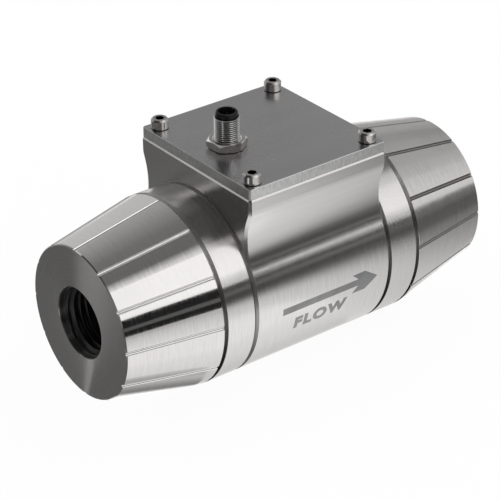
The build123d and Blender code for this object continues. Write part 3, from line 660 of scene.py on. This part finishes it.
turnedFinish = {
    # painted shade in the ports: their walls darker than the cap's skin
    "portShadeTone": (0.28, 0.275, 0.27),
    "grooveShadeAndLightTones": ((0.12, 0.118, 0.115), (0.88, 0.865, 0.85)),     # painted shade in the grooves low on the piece, a painted highlight high up
    "inletSlotLightTones": ((0.72, 0.71, 0.70), (0.97, 0.96, 0.95)),     # painted highlight in the inlet cone's slots, lighter higher up; painted shade in the outlet cap's slots
    "outletSlotShadeTone": (0.34, 0.33, 0.32),
    "shadeFadeZ": (-0.02, 0.04),        # painted shade in grooves and slots is darkest below these heights, and fades out between them
    "ringWear": 0.7,                # how much of the wear follows the rings, the rest is hand marks
    "wearSwing": 0.25,
    "capWearSwing": 0.5,
    "deepRoughness": 0.32,          # in grooves and ports
    "slotRoughness": 0.24,
    "facedRoughness": 0.16,
    "outletExtra": 0.06,            # the outlet cap is rougher by this, and its slots by this too
    "outletSlotExtra": 0.18,
}


def turnedSteel(name, tone, roughness, anisotropy, bump, coarse, fine, reach=0.0, bandRoughness=None):
    t = turnedFinish
    isCap = bandRoughness is not None
    material, tree, shader, position = startMaterial(name, anisotropy=anisotropy)
    x, y, z = axesOf(tree, position)
    facing = leanTo(tree, "X")
    rings = useGroup(tree, "lathe", Position=position, Facing=facing, Coarse=coarse, Fine=fine)
    smudge = useGroup(tree, "smudge", Position=position, Size=38.0)
    masks = useGroup(tree, "recess", Position=position, Reach=reach)
    # share for the painted shade and light by height: 0 low on the piece, 1 high up
    litHigher = shareOf(tree, z, *t["shadeFadeZ"])
    skinTone = mixColour(tree, rings["Tone"], *shades(tone, 0.95, 1.04))
    wear = plus(tree, times(tree, rings["Tone"], t["ringWear"]), times(tree, smudge["Mask"], 1 - t["ringWear"]))
    swing = t["capWearSwing"] if isCap else t["wearSwing"]
    skin = rampValue(tree, wear, roughness * (1 - swing), roughness * (1 + swing))
    if isCap:
        # the plain band, the slots, the faced-off end and the whole outlet cap are rougher than the inlet cone
        outlet = over(tree, x, middle)
        # painted light and shade in the slots: the inlet cone's lighter higher up, the outlet cap's painted dark
        inletSlot = mixColour(tree, litHigher, *t["inletSlotLightTones"])
        slotTone = mixColour(tree, outlet, inletSlot, t["outletSlotShadeTone"])
        skinTone = mixColour(tree, masks["Slot"], skinTone, slotTone)
        band = rampValue(tree, wear, bandRoughness * 0.85, bandRoughness * 1.2)
        skin = larger(tree, skin, times(tree, masks["Band"], band))
        slot = plus(tree, t["slotRoughness"], times(tree, outlet, t["outletSlotExtra"]))
        skin = larger(tree, skin, times(tree, masks["Slot"], slot))
        skin = plus(tree, skin, times(tree, outlet, t["outletExtra"]))
        skin = larger(tree, skin, times(tree, over(tree, facing, 0.95), t["facedRoughness"]))
    # painted shade down the ports
    skinTone = mixColour(tree, masks["Port"], skinTone, t["portShadeTone"])
    # painted shade in the grooves and chamfers low down, painted highlight high up
    colour = mixColour(tree, masks["Groove"], skinTone, mixColour(tree, litHigher, *t["grooveShadeAndLightTones"]))
    deep = larger(tree, masks["Groove"], masks["Port"])
    skin = larger(tree, skin, times(tree, deep, t["deepRoughness"]))
    finishShader(tree, shader, colour, skin, rings["Height"], bump)
    # highlights stretch across the tool's rings: along X, or outwards on an end face
    isFace = over(tree, facing, lathe["faceLean"])
    wire(tree, mixVector(tree, isFace, (1, 0, 0), vectorOf(tree, 0, y, z)), shader.inputs["Tangent"])
    return material


def threadedSteel(name, centre, rootR, crestR, tones, roughness):
    # painted light and shade: a painted highlight on the thread's crests, painted shade down in its roots
    material, tree, shader, position = startMaterial(name)
    grain = useGroup(tree, "grain", Position=position, Stretch=(500.0, 500.0, 2500.0))
    up = shareOf(tree, distanceRound(tree, position, centre), rootR, crestR)
    rough = smudged(tree, position, 60.0, roughness * 0.88, roughness * 1.18)
    finishShader(tree, shader, mixColour(tree, up, *tones), rough, grain["Height"], 0.15)
    return material


def groundSteel(name, tone, roughness, bump, stretch, metallic=1.0):
    material, tree, shader, position = startMaterial(name, metallic=metallic)
    grain = useGroup(tree, "grain", Position=position, Stretch=stretch)
    colour = mixColour(tree, grain["Tone"], *shades(tone, 0.92, 1.06))
    rough = smudged(tree, position, 60.0, roughness * 0.88, roughness * 1.18)
    finishShader(tree, shader, colour, rough, grain["Height"], bump)
    return material


def moulded(name, tone, roughness, bump=0.2, size=2200.0, specular=0.5):
    material, tree, shader, position = startMaterial(name, metallic=0.0, specular=specular)
    noise = noiseOf(tree, position, Scale=size, Detail=3.0)
    smudge = useGroup(tree, "smudge", Position=position, Size=120.0)
    colour = mixColour(tree, smudge["Mask"], *shades(tone, 0.8, 1.15))
    rough = rampValue(tree, noise, roughness * 0.85, roughness * 1.15)
    finishShader(tree, shader, colour, rough, noise, bump, 0.03)
    return material


# painted shade where a nut or a screw's head meets the plate, up to these heights; its tone also darkens the
# screws' sockets
paintedShade = {"tone": (0.1, 0.095, 0.09), "nutZ": 0.0637, "headZ": 0.06375}
nutFinish = {
    # painted shade: the flats darker than the top
    "flatTones": ((0.40, 0.38, 0.365), (0.5, 0.475, 0.455)),
    "topTone": (0.62, 0.60, 0.59),
    "edgeTone": (0.97, 0.96, 0.95),     # painted highlight on the corners and chamfers
    "flatLean": 0.15,
    "topLean": 0.97,
}


def nutSteel(name):
    n = nutFinish
    material, tree, shader, position = startMaterial(name)
    lean = leanTo(tree, "Z")
    chamfer = times(tree, over(tree, lean, n["flatLean"]), under(tree, lean, n["topLean"]))
    grain = useGroup(tree, "grain", Position=position, Stretch=(700.0, 700.0, 300.0))
    # painted light and shade: flats darker, top lighter, chamfers a painted highlight
    flats = mixColour(tree, grain["Tone"], *n["flatTones"])
    body = mixColour(tree, under(tree, lean, n["flatLean"]), n["topTone"], flats)
    body = mixColour(tree, chamfer, body, n["edgeTone"])
    # painted contact shade along the nut's foot
    foot = under(tree, axesOf(tree, position)[2], paintedShade["nutZ"])
    rough = smudged(tree, position, 60.0, 0.17, 0.23)
    finishShader(tree, shader, mixColour(tree, foot, body, paintedShade["tone"]), rough, grain["Height"], 0.15)
    return material


screwFinish = {
    "tones": ((0.54, 0.52, 0.505), (0.68, 0.66, 0.64)),
    "spread": (0.03365, 0.03545),       # a screw's place from the middle of the plate
    "socketR": 0.0026,
    "socketZ": 0.06825,                 # just under the head's top
}


def screwSteel(name):
    # bright head, painted shade in the socket and along the head's foot
    s = screwFinish
    material, tree, shader, position = startMaterial(name)
    folded = vectorNode(tree, "ABSOLUTE", vectorNode(tree, "SUBTRACT", position, (middle, 0, 0)))
    z = axesOf(tree, position)[2]
    isNear = under(tree, distanceRound(tree, folded, s["spread"]), s["socketR"])
    socket = times(tree, isNear, under(tree, z, s["socketZ"]))
    dark = larger(tree, socket, under(tree, z, paintedShade["headZ"]))
    grain = useGroup(tree, "grain", Position=position, Stretch=(900.0, 900.0, 500.0))
    metal = mixColour(tree, grain["Tone"], *s["tones"])
    rough = smudged(tree, position, 60.0, 0.17, 0.24)
    finishShader(tree, shader, mixColour(tree, dark, metal, paintedShade["tone"]), rough, grain["Height"], 0.2)
    return material


plateFinish = {
    "tone": (0.60, 0.59, 0.595),
    "edgeTone": (0.78, 0.765, 0.75),
    "roughness": 0.27,
    "edgeRoughness": 0.4,
    "grainDepth": 0.6,
    "sawDepth": 4.0,
}


def plateSteel(name):
    # ground top, sawn edges
    p = plateFinish
    material, tree, shader, position = startMaterial(name)
    edge = under(tree, leanTo(tree, "Z"), 0.4)
    grain = useGroup(tree, "grain", Position=position, Stretch=(60.0, 1400.0, 1400.0))
    saw = useGroup(tree, "grain", Position=position, Stretch=(900.0, 900.0, 350.0))
    ground = mixColour(tree, grain["Tone"], *shades(p["tone"], 0.95, 1.04))
    sawn = mixColour(tree, saw["Height"], *shades(p["edgeTone"], 0.6, 1.35))
    top = smudged(tree, position, 42.0, p["roughness"] * 0.85, p["roughness"] * 1.15)
    rough = larger(tree, top, times(tree, edge, p["edgeRoughness"]))
    groundShare = minus(tree, p["grainDepth"], times(tree, edge, p["grainDepth"]))
    height = plus(tree, times(tree, grain["Height"], groundShare),
                  times(tree, times(tree, saw["Height"], edge), p["sawDepth"]))
    finishShader(tree, shader, mixColour(tree, edge, ground, sawn), rough, height, 0.35, 0.03)
    return material


boardTones = {
    "Color1": (0.012, 0.10, 0.035, 1),
    "Color2": (0.016, 0.125, 0.045, 1),
    "Mortar": (0.03, 0.20, 0.07, 1),
}


def boardGreen(name):
    # solder mask over copper tracks that run in steps
    material, tree, shader, position = startMaterial(name, metallic=0.0, coat=0.3)
    brick = addNode(tree, "ShaderNodeTexBrick", Scale=140.0, Mortar_Size=0.06, offset=0.37, **boardTones)
    wire(tree, position, brick.inputs["Vector"])
    rough = smudged(tree, position, 90.0, 0.28, 0.42)
    finishShader(tree, shader, brick.outputs["Color"], rough, brick.outputs["Fac"], 0.3, 0.03)
    return material


# a finish's name, its tone, its roughness, then the depth of its grain and how far the grain is drawn out
steel = (0.702, 0.686, 0.675)
materials = {
    "housing": turnedSteel("turnedHousingSteel", steel, 0.2, 0.85, 0.2, 1500.0, 4000.0, reach=0.0672),
    "cap": turnedSteel("turnedCapSteel", steel, 0.12, 0.95, 0.25, 1600.0, 4400.0, reach=0.0661, bandRoughness=0.2),
    # painted shade: the port threads, steel like the caps, darkened for the shade deep in the ports
    "thread": groundSteel("shadedPortThreadSteel", (0.12, 0.12, 0.12), 0.36, 0.2, (300.0, 300.0, 300.0)),
    "plate": plateSteel("groundPlateSteel"),
    "screw": screwSteel("screwSteel"),
    # painted shade in the roots, painted highlight on the crests
    "connector": threadedSteel("platedConnector", barrel["centre"], 0.0056, 0.0059,
                               ((0.02, 0.03, 0.03), (0.92, 0.91, 0.9)), 0.16),
    "nut": nutSteel("platedNut"),
    "insert": moulded("blackInsert", (0.004, 0.004, 0.0045), 0.34, specular=0.3),
    "contact": groundSteel("giltContact", (0.5, 0.36, 0.15), 0.3, 0.1, (600.0, 600.0, 2000.0)),
    "seal": moulded("sealRubber", (0.018, 0.018, 0.018), 0.62, bump=0.3),
    "board": boardGreen("boardLaminate"),
    "standoff": groundSteel("brassStandoff", (0.75, 0.56, 0.27), 0.28, 0.2, (700.0, 700.0, 2600.0)),
    "chip": moulded("chipEpoxy", (0.022, 0.022, 0.024), 0.55, bump=0.35, size=3800.0),
    "can": groundSteel("capacitorSleeve", (0.035, 0.045, 0.075), 0.35, 0.1, (400.0, 400.0, 400.0), metallic=0.0),
    "pickup": groundSteel("pickupSteel", (0.58, 0.575, 0.56), 0.3, 0.25, (400.0, 400.0, 2600.0)),
    "cartridge": groundSteel("cartridgeSteel", (0.5, 0.49, 0.475), 0.36, 0.3, (60.0, 1300.0, 1300.0)),
    "rotor": groundSteel("groundRotorSteel", (0.6, 0.6, 0.6), 0.2, 0.2, (80.0, 1600.0, 1600.0)),
    "wheel": turnedSteel("poleWheelSteel", (0.5, 0.49, 0.47), 0.34, 0.4, 0.3, 1100.0, 4200.0),
    "bearing": groundSteel("bearingSteel", (0.68, 0.68, 0.69), 0.12, 0.06, (2400.0, 300.0, 300.0)),
    "cage": groundSteel("cageBrass", (0.72, 0.53, 0.24), 0.3, 0.2, (1800.0, 400.0, 400.0)),
    "clip": groundSteel("springClipSteel", (0.11, 0.11, 0.115), 0.42, 0.3, (900.0, 900.0, 900.0)),
    "etched": groundSteel("etchedMark", (0.33, 0.33, 0.33), 0.55, 0.5, (1500.0, 1500.0, 1500.0)),
}

finishOf = {
    "housing_steel": "housing", "cap_steel": "cap", "plate_steel": "plate", "screw_steel": "screw",
    "connector_steel": "connector", "nut_steel": "nut", "insert_plastic": "insert", "contact_metal": "contact",
    "seal_rubber": "seal", "board_laminate": "board", "standoff_brass": "standoff", "chip_plastic": "chip",
    "capacitor_can": "can", "pickup_steel": "pickup", "cartridge_steel": "cartridge", "rotor_steel": "rotor",
    "wheel_steel": "wheel", "bearing_steel": "bearing", "cage_brass": "cage", "clip_steel": "clip",
}
for part in frame["record"]["subparts"]:
    for materialSlot in nodes[part["node"]].material_slots:
        materialSlot.material = materials[finishOf[part["material_slot"]]]
print("materials made")


def dress(piece, material):
    piece.data.materials.clear()
    piece.data.materials.append(materials[material])
    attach(piece, "meter")


dress(inletThread, "thread")
dress(outletThread, "thread")
dress(connectorBarrel, "connector")
dress(flowArrow, "etched")
dress(flowWord, "etched")
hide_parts("connector_shell")

# sizes in metres, brightness 1 is white
studio = {
    "floorZ": -0.0472,
    "floorR": 3.0,
    "floorSeen": 0.94,       # how much of the floor is plain white to the camera, and in a reflection
    "floorMirrored": 0.45,
    "worldGrey": 0.95,       # what the world gives to matt surfaces
    "frontY": -1.05,         # walls of the little studio, seen in reflections only
    "backY": 1.8,
    "leftX": -1.6,
    "rightX": 3.0,
    "topZ": 1.65,
    "boardZ": 0.26,          # top edge of the dark board in front of the softbox, and where it starts to rise
    "boardMidX": 0.68,
    "boardLeftZ": 0.606,
    "softboxX": (-0.05, 1.3),      # its left and right edges
    "softboxLight": 0.3,
    "brightest": 4,          # cards can be this bright
}


def backgroundRays(tree):
    rays = addNode(tree, "ShaderNodeLightPath")
    mirrored = larger(tree, rays.outputs["Is Glossy Ray"], rays.outputs["Is Transmission Ray"])
    return rays.outputs["Is Camera Ray"], mirrored


def hangCard(name, corners, axis, stops):
    # a board beside the object: its brightness runs along one axis, from stop to stop
    mesh = bpy.data.meshes.new(name)
    mesh.from_pydata(corners, [], [tuple(range(len(corners)))])
    card = addObject(name, mesh)
    material, tree = newMaterial(name)
    tree.nodes.clear()
    where = addNode(tree, "ShaderNodeTexCoord")
    place = axesOf(tree, where.outputs["Object"])["XYZ".index(axis)]
    first, last = stops[0][0], stops[-1][0]
    share = mathNode(tree, "DIVIDE", minus(tree, place, first), last - first)
    ramp = addNode(tree, "ShaderNodeValToRGB")
    while len(ramp.color_ramp.elements) < len(stops):
        ramp.color_ramp.elements.new(0.5)
    for element, (at, level) in zip(ramp.color_ramp.elements, stops):
        element.position = (at - first) / (last - first)
        element.color = (*[level / studio["brightest"]] * 3, 1)
    wire(tree, share, ramp.inputs[0])
    glow = addNode(tree, "ShaderNodeEmission", Strength=studio["brightest"])
    wire(tree, ramp.outputs[0], glow.inputs["Color"])
    end = addNode(tree, "ShaderNodeOutputMaterial")
    wire(tree, glow.outputs[0], end.inputs["Surface"])
    mesh.materials.append(material)
    card.visible_camera = card.visible_shadow = card.visible_diffuse = False


def wallAcross(y, x0, x1, z0, z1):
    return [(x0, y, z0), (x1, y, z0), (x1, y, z1), (x0, y, z1)]


def wallAlong(x, y0, y1, z0, z1):
    return [(x, y0, z0), (x, y1, z0), (x, y1, z1), (x, y0, z1)]


def levelShape(z, *points):
    return [(x, y, z) for x, y in points]


def flatCard(z, x0, x1, y0, y1):
    return levelShape(z, (x0, y0), (x1, y0), (x1, y1), (x0, y1))


def layFloor():
    freshStart()
    bpy.ops.mesh.primitive_circle_add(vertices=96, radius=studio["floorR"], fill_type="NGON",
                                      location=(middle, 0, studio["floorZ"]))
    floor = bpy.context.object
    floor.name = "studioFloor"
    material, tree = newMaterial("studioFloor")
    shader = tree.nodes["Principled BSDF"]
    shader.inputs["Base Color"].default_value = (0.95, 0.95, 0.95, 1)
    shader.inputs["Roughness"].default_value = 0.9
    glow = addNode(tree, "ShaderNodeEmission", Color=(1, 1, 1, 1), Strength=1.0)
    blend = addNode(tree, "ShaderNodeMixShader")
    seen, mirrored = backgroundRays(tree)
    share = larger(tree, times(tree, seen, studio["floorSeen"]), times(tree, mirrored, studio["floorMirrored"]))
    for start, socket in zip((share, shader.outputs[0], glow.outputs[0]), blend.inputs):
        wire(tree, start, socket)
    wire(tree, blend.outputs[0], tree.nodes["Material Output"].inputs["Surface"])
    floor.data.materials.append(material)


def hangWorld():
    world = bpy.data.worlds.new("studioWorld")
    bpy.context.scene.world = world
    world.use_nodes = True
    tree = world.node_tree
    sky = tree.nodes["Background"]
    sky.inputs["Color"].default_value = (1, 1, 1, 1)
    white = larger(tree, *backgroundRays(tree))
    level = plus(tree, studio["worldGrey"], times(tree, white, 1 - studio["worldGrey"]))
    wire(tree, level, sky.inputs["Strength"])


def hangSoftbox(low):
    s = studio
    x0, x1 = s["softboxX"]
    size = (x1 - x0, s["topZ"] - low)
    data = bpy.data.lights.new("frontSoftbox", "AREA")
    data.shape = "RECTANGLE"
    data.size, data.size_y = size
    data.energy = s["softboxLight"] * math.pi * size[0] * size[1]
    lamp = addObject("frontSoftbox", data)
    lamp.location = ((x0 + x1) / 2, s["frontY"], (low + s["topZ"]) / 2)
    lamp.rotation_euler = Vector((0, 1, 0)).to_track_quat("-Z", "Y").to_euler()
    lamp.visible_camera = False


def hangCards(low):
    s = studio
    left, right, front, back, top = (s[k] for k in ("leftX", "rightX", "frontY", "backY", "topZ"))
    boardTop, (boxLeft, boxRight) = s["boardZ"], s["softboxX"]
    cards = [
        # in front of the softbox and beside it
        ("frontBoard", [(left, front + 0.02, low), (1.0, front + 0.02, low), (1.0, front + 0.02, boardTop),
                        (s["boardMidX"], front + 0.02, boardTop), (left, front + 0.02, s["boardLeftZ"])], "X",
         [(left, 0.15), (-0.4, 0.02), (0.3, 0.015), (0.7, 0.07), (1.0, 0.1)]),
        ("softboxFoot", wallAcross(front + 0.015, 0.62, 1.1, boardTop - 0.06, 0.5), "Z",
         [(boardTop - 0.06, 0.35), (0.36, 0.5), (0.5, 1.0)]),
        ("boardEdge", wallAcross(front + 0.025, 0.66, 1.0, 0.243, 0.285), "Z", [(0.243, 1.2), (0.285, 1.2)]),
        ("frontStrip", wallAcross(front + 0.03, 0.0, 1.4, 0.062, 0.138), "X",
         [(0.0, 0.13), (0.3, 0.14), (1.0, 0.22), (1.4, 0.25)]),
        ("frontFloorBoard", flatCard(low + 0.001, left, 0.35, front, -0.78), "X",
         [(left, 0.1), (-0.1, 0.03), (0.35, 0.03)]),
        ("frontRightBoard", wallAcross(front + 0.02, 1.0, right, low, boardTop), "X",
         [(1.0, 0.1), (1.8, 0.2), (right, 0.3)]),
        # walls
        ("frontRightWall", wallAcross(front, boxRight, right, boardTop, top), "X",
         [(boxRight, 1.1), (2.0, 0.8), (right, 0.6)]),
        ("frontLeftWall", wallAcross(front, left, boxLeft, low, top), "X",
         [(left, 0.15), (-0.3, 0.2), (-0.12, 0.3), (boxLeft, 1.0)]),
        ("rightWall", wallAlong(right, front, back, low, top), "Y",
         [(front, 0.7), (0.2, 0.5), (0.9, 0.42), (1.2, 0.3), (1.5, 0.25), (back, 0.3)]),
        ("backWall", wallAcross(back, left, right, low, top), "X",
         [(left, 0.12), (-0.4, 0.3), (0.0, 0.66), (0.78, 0.66), (0.98, 0.33), (1.5, 0.33), (1.9, 0.47),
          (right, 0.47)]),
        ("backRightBoard", wallAcross(back - 0.02, 0.95, right, 1.38, top), "X", [(0.95, 0.14), (right, 0.14)]),
        ("backLeftCard", wallAcross(1.5, -1.4, -0.72, 0.88, 1.46), "X", [(-1.4, 0.7), (-0.72, 0.7)]),
        ("leftWall", wallAlong(left, front, back, low, top), "Y", [(front, 0.3), (0.0, 0.06), (back, 0.06)]),
        # overhead
        ("ceiling", flatCard(top, left, 1.6, front, back), "Y",
         [(front, 1.0), (-0.85, 0.6), (-0.65, 0.17), (0.3, 0.22), (1.0, 0.35), (back, 0.45)]),
        ("frontCeiling", levelShape(top - 0.01, (0.45, front), (1.6, front), (1.6, -0.45), (0.9, -0.45),
                                    (0.45, -0.85)), "Y",
         [(front, 1.1), (-0.68, 1.0), (-0.55, 0.6), (-0.45, 0.4)]),
        ("middleCeiling", flatCard(top - 0.02, 0.55, 1.6, -0.45, 0.5), "X",
         [(0.55, 0.15), (0.8, 0.05), (1.6, 0.05)]),
        ("middleBackCeiling", flatCard(top - 0.02, 0.75, 1.6, 0.5, 1.2), "Y", [(0.5, 0.06), (1.2, 0.14)]),
        ("leftCeiling", flatCard(top - 0.02, left, -0.4, -0.7, back), "X",
         [(left, 0.05), (-0.55, 0.05), (-0.4, 0.15)]),
        ("rightCeiling", flatCard(top, 1.6, right, front, back), "X",
         [(1.6, 0.25), (2.0, 0.5), (right, 0.55)]),
        # on the floor, round the meter
        ("rightFloorBoard", flatCard(low, 0.14, right, front, back), "X",
         [(0.14, 0.85), (0.2, 0.7), (0.25, 0.43), (0.3, 0.26), (0.4, 0.13), (right, 0.1)]),
        ("outletFloorGlow", flatCard(low + 0.0005, 0.185, 0.3, -0.024, 0.1), "Y", [(-0.024, 1.4), (0.1, 1.4)]),
        ("backFloor", flatCard(low + 0.0004, -0.008, 1.3, 0.06, back), "Y",
         [(0.06, 0.38), (0.14, 0.42), (0.3, 0.56), (back, 0.56)]),
        ("backRightFloor", flatCard(low + 0.0008, 0.3, 1.3, 0.1, 1.0), "X",
         [(0.3, 1.25), (0.45, 0.9), (0.7, 0.6), (1.3, 0.5)]),
        ("frontFloor", flatCard(low + 0.0004, -0.003, 0.14, -0.8, -0.015), "Y",
         [(-0.8, 0.5), (-0.54, 0.55), (-0.27, 0.78), (-0.19, 0.88), (-0.12, 1.08), (-0.076, 1.07),
          (-0.065, 0.99), (-0.057, 0.96), (-0.045, 0.88), (-0.035, 0.76), (-0.027, 0.69), (-0.024, 0.82),
          (-0.021, 1.03), (-0.015, 1.3)]),
        ("portStreak", levelShape(low + 0.0006, (-0.006, 0.006), (-0.006, 0.009), (-0.12, 0.168),
                                  (-0.13, 0.154)), "Y",
         [(0.0, 0.3), (0.03, 0.34), (0.06, 0.5), (0.168, 0.6)]),
        ("portFloorBoard", flatCard(low + 0.0004, -0.06, -0.003, -0.09, 0.06), "Y",
         [(-0.09, 0.13), (0.06, 0.13)]),
        ("inletContactShade", flatCard(low + 0.0005, -0.003, 0.05, -0.048, 0.01), "Y",
         [(-0.048, 0.75), (-0.043, 0.48), (-0.035, 0.62), (-0.032, 0.48), (-0.0273, 0.31), (-0.023, 0.24),
          (-0.0191, 0.74), (-0.0154, 1.28), (0.01, 1.43)]),
        ("leftFloorBoard", flatCard(low, left, -0.008, -0.03, back), "X", [(left, 0.13), (-0.008, 0.13)]),
        ("leftFrontFloorBoard", flatCard(low, left, -0.03, front, -0.09), "X", [(left, 0.1), (-0.03, 0.1)]),
        ("backStrip", wallAcross(0.64, -0.67, -0.62, low + 0.02, 0.35), "X", [(-0.67, 2.0), (-0.62, 2.0)]),
    ]
    for card in cards:
        hangCard(*card)


layFloor()
hangWorld()
justAbove = studio["floorZ"] + 0.001
hangSoftbox(justAbove)
hangCards(justAbove)
print("studio set")
